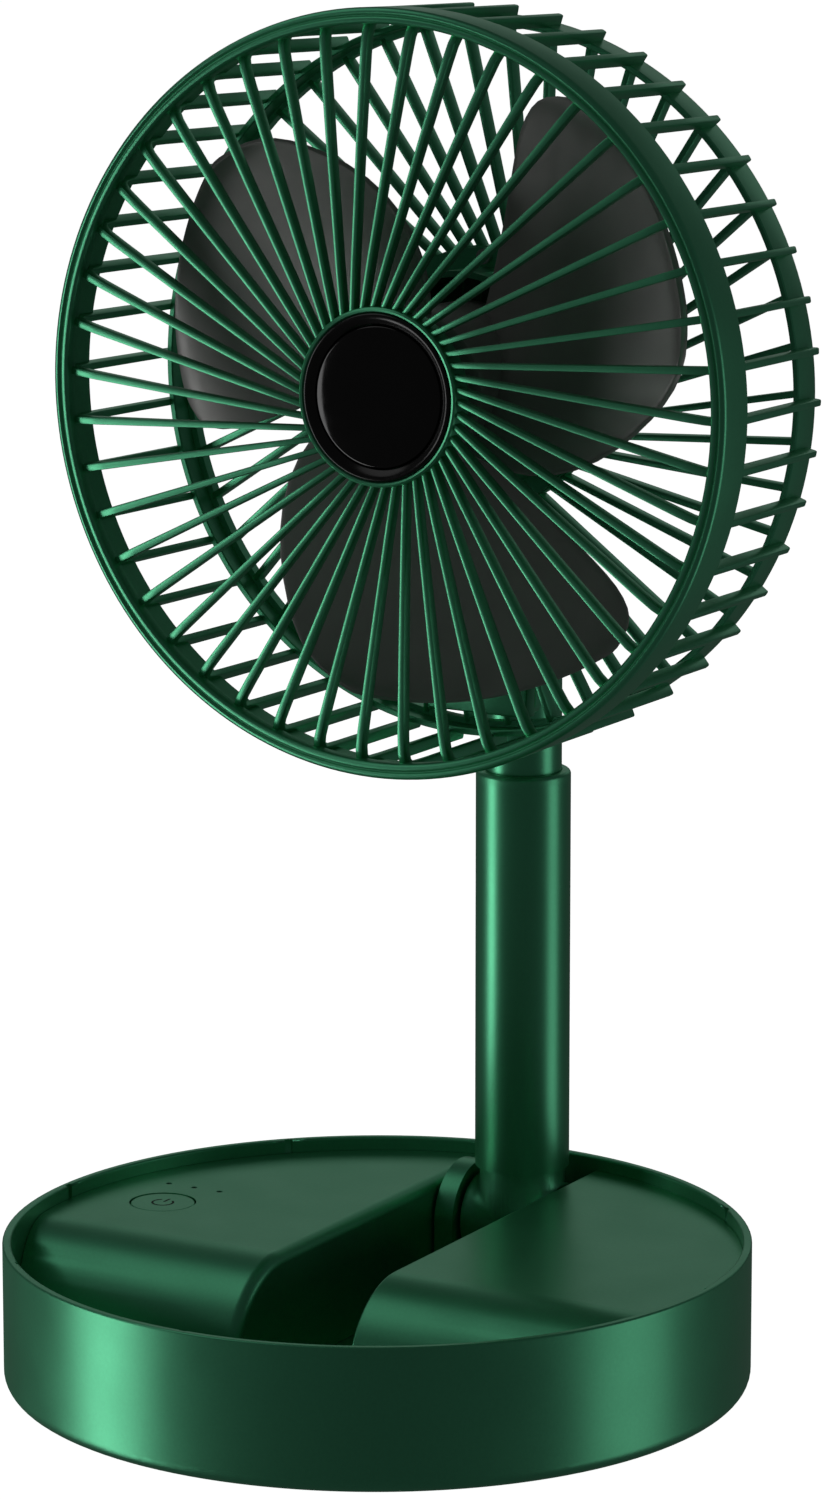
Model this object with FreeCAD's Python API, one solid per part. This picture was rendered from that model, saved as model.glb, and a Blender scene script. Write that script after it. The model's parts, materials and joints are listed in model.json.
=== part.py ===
"""A folding desk fan: round base, telescopic pole, and a flat caged fan head.

Frame: millimetres, +Z up, origin at the centre of the base's underside. The fan blows
towards -Y, and the pole stands at the rear (+Y) of the base. The pole folds forward about
the fold pin into the channel of the base while the head flips over on top of the base.
"""
import FreeCAD, Part
import math
import os
from FreeCAD import Vector as V

# ---------------------------------------------------------------- driving dimensions
BASE_RADIUS = 92.0
BASE_HEIGHT = 37.0
BASE_WALL = 2.2
BASE_EDGE_ROUND = 4.0
FLOOR_THICKNESS = 2.4
FOOT_HEIGHT = 0.8
FOOT_RADIUS = 7.0
FOOT_CIRCLE = 74.0
SNAP_COUNT = 8
SNAP_WIDTH = 2.0
SNAP_HEIGHT = 3.6
SNAP_DEPTH = 0.8

DECK_DROP = 3.5            # deck below the rim
DECK_THICKNESS = 2.0
DECK_NOSE_RADIUS = 23.0    # quarter round at the front of each deck
DECK_NOSE_Y = -13.7        # where the flat deck ends
CHANNEL_LEFT = 18.5
CHANNEL_RIGHT = 12.7
LEFT_EDGE_ROUND = 3.0
RIGHT_EDGE_ROUND = 0.8

PIVOT_Y = 73.3
PIVOT_Z = 22.5
PIVOT_PIN_RADIUS = 3.0
CHEEK_RADIUS = 13.8
CHEEK_THICKNESS = 5.2
KNUCKLE_RADIUS = 11.0
KNUCKLE_NECK_RADIUS = 10.8

TUBE_RADIUS = 12.0
TUBE_WALL = 1.3
TUBE_FOOT = 15.0           # tube's lower end above the pivot
TUBE_LENGTH = 103.0
COLLAR_HEIGHT = 2.4
COLLAR_ROUND = 1.2
INNER_RADIUS = 9.7
INNER_WALL = 1.2
INNER_REACH = 10.5         # inner tube's upper end below the head hinge
SLIDE_TRAVEL = 60.0
SLIDE_OVERLAP = 24.0       # inner tube still inside the outer one when fully drawn out
FORK_GAP = 10.4
FORK_EYE_RADIUS = 9.0
HINGE_PIN_RADIUS = 2.5
DETENT_RADIUS = 8.5
DETENT_THICKNESS = 1.6

HINGE_DROP = 73.2          # head hinge below the fan axis
HINGE_BACK = 19.0          # head hinge behind the cage's rear plane
HEAD_TILT = 2.3            # the head looks up by this angle, in degrees
CAGE_RADIUS = 92.8
CAGE_DEPTH = 54.0
CAGE_TAPER = 0.032         # cage radius lost per mm towards the rear
RING_WIDTH = 4.0
RING_FACE = 2.0            # front of the ring ahead of its widest plane
BAND_DEPTH = 11.0
BAND_WALL = 2.2
RIB_COUNT = 46
RIB_PHASE = 3.2            # turn of the first rib, in degrees
RIB_THICKNESS = 1.9
RIB_DEPTH = 3.2
SIDE_RIB_DEPTH = 2.6
RIB_TIP_GAP = 2.4          # side ribs end before the cage's rear plane
RIB_TANGENT_RADIUS = 8.0   # the ribs point past the fan axis at this distance
HUB_RADIUS = 21.8
HUB_WALL = 1.4
HUB_FACE = 3.5             # hub ahead of the ring's widest plane
HUB_DEPTH = 7.0
BEZEL_WIDTH = 2.8
REAR_RING_RADIUS = 88.8
REAR_RING_WIDTH = 3.0
REAR_RING_DEPTH = 9.5
REAR_RIB_DEPTH = 4.0
REAR_RIB_THICKNESS = 1.6
REAR_RIB_TANGENT_RADIUS = 14.0
REAR_HUB_WIDTH = 5.0
PAD_HALF_WIDTH = 14.0
PAD_LOW = 84.0             # pad's lower end below the fan axis
PAD_HIGH = 44.0
BRACKET_THICKNESS = 3.0

MOTOR_RADIUS = 27.0
MOTOR_WALL = 1.5
MOTOR_DEPTH = 17.0
SHAFT_RADIUS = 1.5
BEARING_RADIUS = 4.0
BEARING_LENGTH = 3.0
BEARING_TUBE_RADIUS = 5.5
STATOR_RADIUS = 13.4
STATOR_TEETH = 9
CAN_RADIUS = 16.0
CAN_WALL = 1.6
CAN_LENGTH = 14.0
ROTOR_HUB_RADIUS = 19.5
ROTOR_HUB_HEIGHT = 22.0
BLADE_COUNT = 3
BLADE_RADIUS = 77.0
BLADE_THICKNESS = 1.8
BLADE_START = 25.0         # turn of the first blade, in degrees
BLADE_CLEAR = 11.5         # between the rotor's hub and the cage's hub
# share of the span, half chord and half rise of each section of a blade
BLADE_SECTIONS = ((0.0, 15.0, 9.0), (0.35, 33.0, 11.0), (0.7, 47.0, 11.5), (1.0, 52.0, 10.5))

BUTTON_RADIUS = 8.15
BUTTON_X = -67.8
BUTTON_Y = 9.0
BUTTON_TRAVEL = 0.8
LIGHT_RADIUS = 0.75
LIGHT_PITCH = 7.5
LIGHT_Y = 24.1
CELL_RADIUS = 9.2
CELL_LENGTH = 65.0
CELL_CAP_RADIUS = 2.6
CELL_PLACES = (-54.0, -34.0)
CELL_START = -18.0         # front end of the cells
HOLDER_SIDES = (-64, -24, -16, 44)
HOLDER_LIP = 5.0
BOARD_SIDES = (-80, -28, -12, 32)
BOARD_THICKNESS = 1.6
BOARD_POSTS = ((-77, 27), (-77, -8))
# corner, width, depth and height of each chip on the control board
CHIPS = ((-50, -6, 8, 6, 1.2), (-40, 6, 5, 5, 1.6), (-48, 12, 10, 4, 2.0))
SOCKET_ANGLE = 122.0
SOCKET_WIDTH = 9.0
SOCKET_THICKNESS = 3.3
SOCKET_Z = 14.0
SCREW_RADIUS = 1.25
BALLAST_THICKNESS = 8.0

GAP = 0.15                 # between fixed neighbours
RUN = 0.05                 # radial running clearance of a shaft
SIDE_PLAY = 0.2            # between faces that turn past each other

# ---------------------------------------------------------------- places that follow
FLOOR_TOP = FOOT_HEIGHT + FLOOR_THICKNESS
BASE_INNER = BASE_RADIUS - BASE_WALL
DECK_TOP = BASE_HEIGHT - DECK_DROP
DECK_OUTER = BASE_INNER - GAP
TUBE_BASE = PIVOT_Z + TUBE_FOOT
TUBE_TOP = TUBE_BASE + TUBE_LENGTH
POLE_LENGTH = PIVOT_Y + HINGE_DROP
HINGE_Z = PIVOT_Z + POLE_LENGTH
INNER_TOP = HINGE_Z - INNER_REACH
INNER_BOTTOM = TUBE_TOP - SLIDE_OVERLAP - SLIDE_TRAVEL
TILT = math.radians(HEAD_TILT)
HINGE_U = -CAGE_DEPTH - HINGE_BACK
HEAD_Y = PIVOT_Y + HINGE_U * math.cos(TILT) + HINGE_DROP * math.sin(TILT)
HEAD_Z = HINGE_Z - HINGE_U * math.sin(TILT) + HINGE_DROP * math.cos(TILT)
RING_INNER = CAGE_RADIUS - RING_WIDTH
MOTOR_REAR = -CAGE_DEPTH
MOTOR_FRONT = MOTOR_REAR + MOTOR_DEPTH
BEARING_TUBE_FRONT = MOTOR_FRONT + 5.0
CAN_REAR = BEARING_TUBE_FRONT + 2 * SIDE_PLAY + CAN_WALL - CAN_LENGTH
BLADE_FRONT = HUB_FACE - HUB_DEPTH - BLADE_CLEAR
BLADE_MIDDLE = BLADE_FRONT - ROTOR_HUB_HEIGHT / 2
EYE_HALF = FORK_GAP / 2 - DETENT_THICKNESS - 2 * SIDE_PLAY

X, Y, Z = V(1, 0, 0), V(0, 1, 0), V(0, 0, 1)
PARTS = {}


# ---------------------------------------------------------------- small tools
def cyl(radius, low, high, centre=V(0, 0, 0), axis=Z):
    """A cylinder from low to high along the axis through centre."""
    return Part.makeCylinder(radius, high - low, centre + axis * low, axis)


def pipe(outer, inner, low, high, centre=V(0, 0, 0), axis=Z):
    """A straight pipe."""
    bore = cyl(inner, low - 1, high + 1, centre, axis)
    return cyl(outer, low, high, centre, axis).cut(bore)


def block(x0, x1, y0, y1, z0, z1):
    """A box between two corners."""
    return Part.makeBox(x1 - x0, y1 - y0, z1 - z0, V(x0, y0, z0))


def turned(points):
    """A solid of revolution about Z from (radius, height) points."""
    face = Part.Face(Part.makePolygon([V(r, 0, z) for r, z in points + points[:1]]))
    return face.revolve(V(0, 0, 0), Z, 360)


def fillet_where(shape, radius, test):
    """Rounds the edges whose middle point passes the test."""
    edges = [e for e in shape.Edges if test(e)]
    return shape.makeFillet(radius, edges)


def add(name, shape):
    """Keeps a finished piece under its node name."""
    PARTS[name] = shape


def add_head(name, shape):
    """Keeps a piece that was drawn about the fan axis: +Z forward, +Y up, 0 at the ring."""
    placed = shape.copy()
    placed.rotate(V(0, 0, 0), X, 90 - HEAD_TILT)
    placed.translate(V(0, HEAD_Y, HEAD_Z))
    PARTS[name] = placed


def polar(radius, degrees, z=0.0):
    """A point on a circle about Z."""
    angle = math.radians(degrees)
    return V(radius * math.cos(angle), radius * math.sin(angle), z)


# ---------------------------------------------------------------- base
def screw_places():
    """Where the deck screws rise through the floor, two to a deck."""
    return [V(-70, -22, 0), V(-30, 60, 0), V(70, -22, 0), V(30, 60, 0)]


def foot_places():
    """Centres of the four rubber feet."""
    return [polar(FOOT_CIRCLE, a) for a in (40, 140, 220, 320)]


def socket_cut(grow):
    """A radial box the size of the charging socket, grown on every side."""
    half_w, half_t = SOCKET_WIDTH / 2 + grow, SOCKET_THICKNESS / 2 + grow
    cut = block(BASE_INNER - 12, BASE_RADIUS + 5, -half_w, half_w,
                SOCKET_Z - half_t, SOCKET_Z + half_t)
    cut.rotate(V(0, 0, 0), Z, SOCKET_ANGLE)
    return cut


def base_tray():
    body = cyl(BASE_RADIUS, FOOT_HEIGHT, BASE_HEIGHT)
    body = fillet_where(body, BASE_EDGE_ROUND,
                        lambda e: e.BoundBox.ZMax < FOOT_HEIGHT + 0.1)
    body = body.cut(cyl(BASE_INNER, FLOOR_TOP, BASE_HEIGHT + 1))
    body = fillet_where(body, 0.6, lambda e: e.BoundBox.ZMin > BASE_HEIGHT - 0.1)
    for i in range(SNAP_COUNT):
        notch = block(BASE_INNER - 1, BASE_INNER + SNAP_DEPTH, -SNAP_WIDTH / 2,
                      SNAP_WIDTH / 2, BASE_HEIGHT - SNAP_HEIGHT, BASE_HEIGHT + 1)
        notch.rotate(V(0, 0, 0), Z, i * 360 / SNAP_COUNT)
        body = body.cut(notch)
    for p in foot_places():
        body = body.cut(cyl(FOOT_RADIUS + GAP, FOOT_HEIGHT - 1, FOOT_HEIGHT + 1, p))
    for p in screw_places():
        body = body.cut(cyl(SCREW_RADIUS + GAP, 0, BASE_HEIGHT, p))
        body = body.cut(cyl(2 * SCREW_RADIUS + 2 * GAP, 0, FOOT_HEIGHT + 1.2, p))
    return body.cut(socket_cut(GAP))


def deck_block(side, inset):
    """The D-shaped deck as a full block; inset shrinks it to the hollow inside the shell."""
    top = DECK_TOP - inset
    nose = DECK_NOSE_RADIUS - inset
    nose_z = DECK_TOP - DECK_NOSE_RADIUS
    low = FLOOR_TOP + (GAP if inset == 0 else -1)
    far = BASE_RADIUS + 5
    mid = math.sqrt(0.5) * nose
    arc = Part.Arc(V(0, DECK_NOSE_Y, top), V(0, DECK_NOSE_Y - mid, nose_z + mid),
                   V(0, DECK_NOSE_Y - nose, nose_z)).toShape()
    corners = [V(0, DECK_NOSE_Y - nose, nose_z), V(0, DECK_NOSE_Y - nose, low),
               V(0, far, low), V(0, far, top), V(0, DECK_NOSE_Y, top)]
    lines = [Part.makeLine(a, b) for a, b in zip(corners, corners[1:])]
    side_face = Part.Face(Part.Wire([arc] + lines))
    start = CHANNEL_RIGHT if side > 0 else -CHANNEL_LEFT
    side_face.translate(V(start + side * inset, 0, 0))
    solid = side_face.extrude(V(side * (far - abs(start)), 0, 0))
    return solid.common(cyl(DECK_OUTER - inset, low, top + 1))


def deck(side):
    body = deck_block(side, 0)
    wall_x = CHANNEL_RIGHT if side > 0 else -CHANNEL_LEFT
    edge_round = RIGHT_EDGE_ROUND if side > 0 else LEFT_EDGE_ROUND
    flat_z = DECK_TOP - DECK_NOSE_RADIUS

    def channel_edge(e):
        box = e.BoundBox
        on_wall = abs(box.XMin - wall_x) < 0.01 and abs(box.XMax - wall_x) < 0.01
        return on_wall and box.ZMin > flat_z - 0.1 and box.ZMax > DECK_TOP - 0.1

    body = fillet_where(body, edge_round, channel_edge)
    body = body.cut(deck_block(side, DECK_THICKNESS))
    if side > 0:
        cheek = cyl(CHEEK_RADIUS + 3 * GAP, CHANNEL_RIGHT - 1,
                    CHANNEL_RIGHT + CHEEK_THICKNESS + 3 * GAP, V(0, PIVOT_Y, PIVOT_Z), X)
        cheek = cheek.fuse(block(CHANNEL_RIGHT - 1, CHANNEL_RIGHT + CHEEK_THICKNESS + 3 * GAP,
                                 PIVOT_Y - CHEEK_RADIUS - 3 * GAP, BASE_RADIUS, 0, PIVOT_Z))
        under = block(0, BASE_RADIUS, 0, BASE_RADIUS, 0, DECK_TOP - DECK_THICKNESS)
        body = body.cut(cheek.common(under))
    for p in screw_places():
        if p.x * side > 0:
            post = cyl(3.2, FLOOR_TOP + GAP, DECK_TOP, p).common(deck_block(side, 0.5))
            body = body.fuse(post)
            body = body.cut(cyl(SCREW_RADIUS, 0, FLOOR_TOP + 12, p))
    return body


def left_deck():
    body = deck(-1)
    at = V(BUTTON_X, BUTTON_Y, 0)
    body = body.cut(cyl(BUTTON_RADIUS + 2 * GAP, DECK_TOP - 10, DECK_TOP + 1, at))
    for i in (-1, 0, 1):
        light = V(BUTTON_X + i * LIGHT_PITCH, LIGHT_Y, 0)
        body = body.cut(cyl(LIGHT_RADIUS + 0.05, DECK_TOP - 10, DECK_TOP + 1, light))
    return body.cut(socket_cut(GAP))


def cheek(side):
    low, high = sorted((side * CHANNEL_RIGHT, side * (CHANNEL_RIGHT + CHEEK_THICKNESS)))
    body = cyl(CHEEK_RADIUS, low, high, V(0, PIVOT_Y, PIVOT_Z), X)
    body = body.fuse(block(low, high, PIVOT_Y - CHEEK_RADIUS, PIVOT_Y + CHEEK_RADIUS - 3,
                           FLOOR_TOP, PIVOT_Z))
    if side > 0:
        body = body.common(block(low, high, 0, 2 * PIVOT_Y, 0, DECK_TOP - DECK_THICKNESS - GAP))
    bore = cyl(PIVOT_PIN_RADIUS + 0.02, low - 1, high + 1, V(0, PIVOT_Y, PIVOT_Z), X)
    body = body.cut(bore)
    sink = high - 1.6 if side > 0 else low
    body = body.cut(cyl(PIVOT_PIN_RADIUS + 2.2, sink, sink + 1.6, V(0, PIVOT_Y, PIVOT_Z), X))
    return body.removeSplitter()


def base_parts():
    add("base_tray", base_tray())
    add("left_deck", left_deck())
    add("right_deck", deck(1))
    feet = [cyl(FOOT_RADIUS, 0, FOOT_HEIGHT + 1, p) for p in foot_places()]
    add("rubber_feet", Part.makeCompound(feet))
    screws = []
    for p in screw_places():
        head = cyl(2 * SCREW_RADIUS, FOOT_HEIGHT + 0.2, FOOT_HEIGHT + 1.2, p)
        screws.append(head.fuse(cyl(SCREW_RADIUS - 0.03, FOOT_HEIGHT + 1, FLOOR_TOP + 10, p)))
    add("deck_screws", Part.makeCompound(screws))
    plate = cyl(BASE_INNER - DECK_THICKNESS - 3, FLOOR_TOP, FLOOR_TOP + BALLAST_THICKNESS)
    plate = plate.common(block(CHANNEL_RIGHT + CHEEK_THICKNESS + 2.5, BASE_RADIUS,
                               DECK_NOSE_Y - DECK_NOSE_RADIUS + 4, BASE_RADIUS, 0, BASE_HEIGHT))
    for p in screw_places():
        plate = plate.cut(cyl(4.0, 0, BASE_HEIGHT, p))
    add("ballast_plate", plate)
    add("left_cheek", cheek(-1))
    add("right_cheek", cheek(1))
    half_pin = CHANNEL_RIGHT + CHEEK_THICKNESS
    pivot = V(0, PIVOT_Y, PIVOT_Z)
    pin = cyl(PIVOT_PIN_RADIUS, -half_pin, half_pin, pivot, X)
    pin = pin.fuse(cyl(PIVOT_PIN_RADIUS + 2, -half_pin, -half_pin + 1.5, pivot, X))
    add("fold_pin", pin.removeSplitter())
    nut = pipe(PIVOT_PIN_RADIUS + 2, PIVOT_PIN_RADIUS + 0.02, half_pin - 1.5, half_pin, pivot, X)
    add("fold_pin_nut", nut)


def electric_parts():
    low = FLOOR_TOP + 1.5
    cell_z = low + CELL_RADIUS
    cells = []
    saddles = block(*HOLDER_SIDES, FLOOR_TOP, low + HOLDER_LIP)
    cell_end = CELL_START + CELL_LENGTH
    for x in CELL_PLACES:
        at = V(x, 0, cell_z)
        can = cyl(CELL_RADIUS, CELL_START, cell_end, at, Y)
        cap = cyl(CELL_CAP_RADIUS, cell_end - 1, cell_end + 1, at, Y)
        cells.append(can.fuse(cap))
        saddles = saddles.cut(cyl(CELL_RADIUS + GAP, -40, 60, at, Y))
    add("battery_cells", Part.makeCompound(cells))
    add("battery_holder", saddles)
    board_low = cell_z + CELL_RADIUS + 1.2
    board_top = board_low + BOARD_THICKNESS
    board = block(*BOARD_SIDES, board_low, board_top)
    for x, y in BOARD_POSTS:
        board = board.fuse(cyl(2.0, FLOOR_TOP, board_low, V(x, y, 0)))
    for x, y, w, d, h in CHIPS:
        board = board.fuse(block(x, x + w, y, y + d, board_top - 0.1, board_top + h))
    add("control_board", board)
    flange_low = DECK_TOP - DECK_THICKNESS - 1.2
    at = V(BUTTON_X, BUTTON_Y, 0)
    stem_low = flange_low - 0.7
    switch_top = stem_low - BUTTON_TRAVEL - 0.1
    body = block(BUTTON_X - 3, BUTTON_X + 3, BUTTON_Y - 3, BUTTON_Y + 3,
                 board_top, switch_top - 0.6)
    add("button_switch", body.fuse(cyl(1.6, switch_top - 0.7, switch_top, at)))
    lights = [cyl(LIGHT_RADIUS, board_top, DECK_TOP - 0.2, V(BUTTON_X + i * LIGHT_PITCH, LIGHT_Y, 0))
              for i in (-1, 0, 1)]
    add("light_pipes", Part.makeCompound(lights))
    cap = cyl(BUTTON_RADIUS, flange_low, DECK_TOP - 0.1, at)
    cap = fillet_where(cap, 0.5, lambda e: e.BoundBox.ZMin > DECK_TOP - 0.2)
    cap = cap.fuse(cyl(BUTTON_RADIUS + 1.0, flange_low, flange_low + 1.0, at))
    cap = cap.fuse(cyl(2.0, stem_low, flange_low, at))
    add("power_button", cap.removeSplitter())
    shell = block(BASE_INNER - 8, BASE_RADIUS - 0.3, -SOCKET_WIDTH / 2, SOCKET_WIDTH / 2,
                  SOCKET_Z - SOCKET_THICKNESS / 2, SOCKET_Z + SOCKET_THICKNESS / 2)
    shell = fillet_where(shell, SOCKET_THICKNESS / 2 - 0.1,
                         lambda e: e.BoundBox.XLength > 5)
    hollow = block(BASE_INNER - 6, BASE_RADIUS + 1, -SOCKET_WIDTH / 2 + 0.7,
                   SOCKET_WIDTH / 2 - 0.7, SOCKET_Z - SOCKET_THICKNESS / 2 + 0.6,
                   SOCKET_Z + SOCKET_THICKNESS / 2 - 0.6)
    shell = shell.cut(hollow)
    tongue = block(BASE_INNER - 6.5, BASE_INNER + 0.5, -2.6, 2.6, SOCKET_Z - 0.35, SOCKET_Z + 0.35)
    shell = shell.fuse(tongue)
    shell.rotate(V(0, 0, 0), Z, SOCKET_ANGLE)
    add("charging_socket", shell)
    carrier = block(BASE_INNER - 16, BASE_INNER - 3, -6, 6,
                    SOCKET_Z - SOCKET_THICKNESS / 2 - 1.4, SOCKET_Z - SOCKET_THICKNESS / 2)
    leg = block(BASE_INNER - 16, BASE_INNER - 12, -6, 6, FLOOR_TOP,
                SOCKET_Z - SOCKET_THICKNESS / 2 - 1)
    carrier = carrier.fuse(leg)
    carrier.rotate(V(0, 0, 0), Z, SOCKET_ANGLE)
    add("socket_board", carrier.removeSplitter())


# ---------------------------------------------------------------- pole
def pole_parts():
    pivot = V(0, PIVOT_Y, PIVOT_Z)
    axis = V(0, PIVOT_Y, 0)
    half = CHANNEL_RIGHT - SIDE_PLAY - 0.6
    knuckle = cyl(KNUCKLE_RADIUS, -half, half, pivot, X)
    neck = cyl(KNUCKLE_NECK_RADIUS, PIVOT_Z, TUBE_BASE, axis)
    knuckle = knuckle.fuse(neck)
    plug = cyl(TUBE_RADIUS - TUBE_WALL - RUN, TUBE_BASE - 0.5, TUBE_BASE + 9, axis)
    knuckle = knuckle.fuse(plug)
    knuckle = knuckle.cut(cyl(PIVOT_PIN_RADIUS + RUN, -40, 40, pivot, X))
    add("pole_knuckle", knuckle.removeSplitter())
    for side, name in ((-1, "left"), (1, "right")):
        low, high = sorted((side * (half + RUN), side * (CHANNEL_RIGHT - SIDE_PLAY)))
        add(name + "_friction_washer",
            pipe(8.5, PIVOT_PIN_RADIUS + RUN, low, high, pivot, X))
    add("outer_tube", pipe(TUBE_RADIUS, TUBE_RADIUS - TUBE_WALL, TUBE_BASE,
                           TUBE_TOP - COLLAR_HEIGHT, axis))
    bore = INNER_RADIUS + GAP
    collar = pipe(TUBE_RADIUS, bore, TUBE_TOP - COLLAR_HEIGHT, TUBE_TOP, axis)
    collar = fillet_where(collar, COLLAR_ROUND, lambda e: e.BoundBox.ZMin > TUBE_TOP - 0.1
                          and e.BoundBox.XMax > TUBE_RADIUS - 0.1)
    add("tube_collar", collar)
    bush = pipe(TUBE_RADIUS - TUBE_WALL - RUN, INNER_RADIUS + RUN,
                TUBE_TOP - COLLAR_HEIGHT - 14, TUBE_TOP - COLLAR_HEIGHT, axis)
    add("guide_bush", bush)
    inner_bore = INNER_RADIUS - INNER_WALL
    add("inner_tube", pipe(INNER_RADIUS, inner_bore, INNER_BOTTOM, INNER_TOP, axis))
    shoe = pipe(TUBE_RADIUS - TUBE_WALL - RUN, inner_bore - 2, INNER_BOTTOM - 3,
                INNER_BOTTOM, axis)
    shoe = shoe.fuse(pipe(inner_bore - RUN, inner_bore - 2, INNER_BOTTOM - 1,
                          INNER_BOTTOM + 8, axis))
    add("slide_shoe", shoe.removeSplitter())
    hinge = V(0, PIVOT_Y, HINGE_Z)
    fork = cyl(INNER_RADIUS, INNER_TOP, HINGE_Z, axis)
    fork = fork.fuse(cyl(FORK_EYE_RADIUS, -INNER_RADIUS, INNER_RADIUS, hinge, X))
    fork = fork.common(cyl(INNER_RADIUS, INNER_TOP, HINGE_Z + 20, axis))
    gap = block(-FORK_GAP / 2, FORK_GAP / 2, PIVOT_Y - 20, PIVOT_Y + 20,
                HINGE_Z - FORK_EYE_RADIUS + 0.3, HINGE_Z + 20)
    fork = fork.cut(gap)
    fork = fork.fuse(cyl(inner_bore - RUN, INNER_TOP - 10, INNER_TOP + 0.5, axis))
    fork = fork.cut(cyl(HINGE_PIN_RADIUS + RUN, -20, 20, hinge, X))
    add("pole_fork", fork.removeSplitter())
    half_pin = math.sqrt(INNER_RADIUS ** 2 - HINGE_PIN_RADIUS ** 2) - 0.2
    add("head_hinge_pin", cyl(HINGE_PIN_RADIUS, -half_pin, half_pin, hinge, X))
    plates = []
    for side in (-1, 1):
        low, high = sorted((side * (EYE_HALF + SIDE_PLAY),
                            side * (EYE_HALF + SIDE_PLAY + DETENT_THICKNESS)))
        plates.append(pipe(DETENT_RADIUS, HINGE_PIN_RADIUS + 0.01, low, high, hinge, X))
    add("detent_plates", Part.makeCompound(plates))


# ---------------------------------------------------------------- head, about the fan axis
def cage_radius(u):
    """Outer radius of the front cage at a place u along the fan axis."""
    return CAGE_RADIUS + CAGE_TAPER * min(u, 0.0)


def rib_plate(outline, thickness, tangent, index):
    """A flat rib from an outline of (distance, u) points, set past the axis and turned."""
    points = [V(t, tangent - thickness / 2, u) for t, u in outline]
    face = Part.Face(Part.makePolygon(points + points[:1]))
    rib = face.extrude(V(0, thickness, 0))
    rib.rotate(V(0, 0, 0), Z, RIB_PHASE + index * 360 / RIB_COUNT)
    return rib


def along(radius, tangent):
    """Distance along a rib at which it reaches a radius from the fan axis."""
    return math.sqrt(radius ** 2 - tangent ** 2)


def front_grille():
    band_end = -BAND_DEPTH
    ring = turned([(RING_INNER, RING_FACE - 0.8), (RING_INNER + 0.8, RING_FACE),
                   (RING_INNER + 1.5, RING_FACE), (RING_INNER + 1.8, RING_FACE - 0.5),
                   (RING_INNER + 2.2, RING_FACE - 0.5), (RING_INNER + 2.5, RING_FACE),
                   (CAGE_RADIUS - 0.9, RING_FACE), (CAGE_RADIUS, RING_FACE - 1.2),
                   (CAGE_RADIUS, 0), (cage_radius(band_end), band_end),
                   (cage_radius(band_end) - BAND_WALL, band_end),
                   (CAGE_RADIUS - BAND_WALL, -2.5), (RING_INNER, -2.0)])
    hub_back = HUB_FACE - HUB_DEPTH
    hub = turned([(0, hub_back), (HUB_RADIUS, hub_back), (HUB_RADIUS, HUB_FACE - 0.6),
                  (HUB_RADIUS - 0.6, HUB_FACE), (HUB_RADIUS - HUB_WALL, HUB_FACE),
                  (HUB_RADIUS - HUB_WALL, hub_back + 2), (0, hub_back + 2)])
    start = along(HUB_RADIUS - 0.6, RIB_TANGENT_RADIUS)
    top = along(cage_radius(0) - 1.0, RIB_TANGENT_RADIUS)
    side = along(cage_radius(-BAND_DEPTH), RIB_TANGENT_RADIUS)
    outline = [(start, HUB_FACE - 0.8), (start + 12, HUB_FACE - 0.9), (top - 10, 0.9), (top, 0),
               (side, -BAND_DEPTH), (side - SIDE_RIB_DEPTH, -BAND_DEPTH),
               (top - SIDE_RIB_DEPTH - 2, -RIB_DEPTH), (top - 12, 0.9 - RIB_DEPTH),
               (start, HUB_FACE - 0.8 - RIB_DEPTH)]
    ribs = [rib_plate(outline, RIB_THICKNESS, RIB_TANGENT_RADIUS, i) for i in range(RIB_COUNT)]
    return ring.multiFuse([hub] + ribs)


def cage_ribs():
    """The side runs of the ribs, from the ring's band to just short of the rear plane."""
    tip = -CAGE_DEPTH + RIB_TIP_GAP
    step = -CAGE_DEPTH + REAR_RING_DEPTH + 1.0
    side = along(cage_radius(-BAND_DEPTH), RIB_TANGENT_RADIUS)
    end = along(cage_radius(tip), RIB_TANGENT_RADIUS)
    seat = along(REAR_RING_RADIUS + GAP, RIB_TANGENT_RADIUS)
    outline = [(side, -BAND_DEPTH), (end, tip + 1.0), (end - 0.8, tip), (seat, tip),
               (seat, step), (end - SIDE_RIB_DEPTH, step), (side - SIDE_RIB_DEPTH, -BAND_DEPTH)]
    ribs = [rib_plate(outline, RIB_THICKNESS, RIB_TANGENT_RADIUS, i) for i in range(RIB_COUNT)]
    return Part.makeCompound(ribs)


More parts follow.
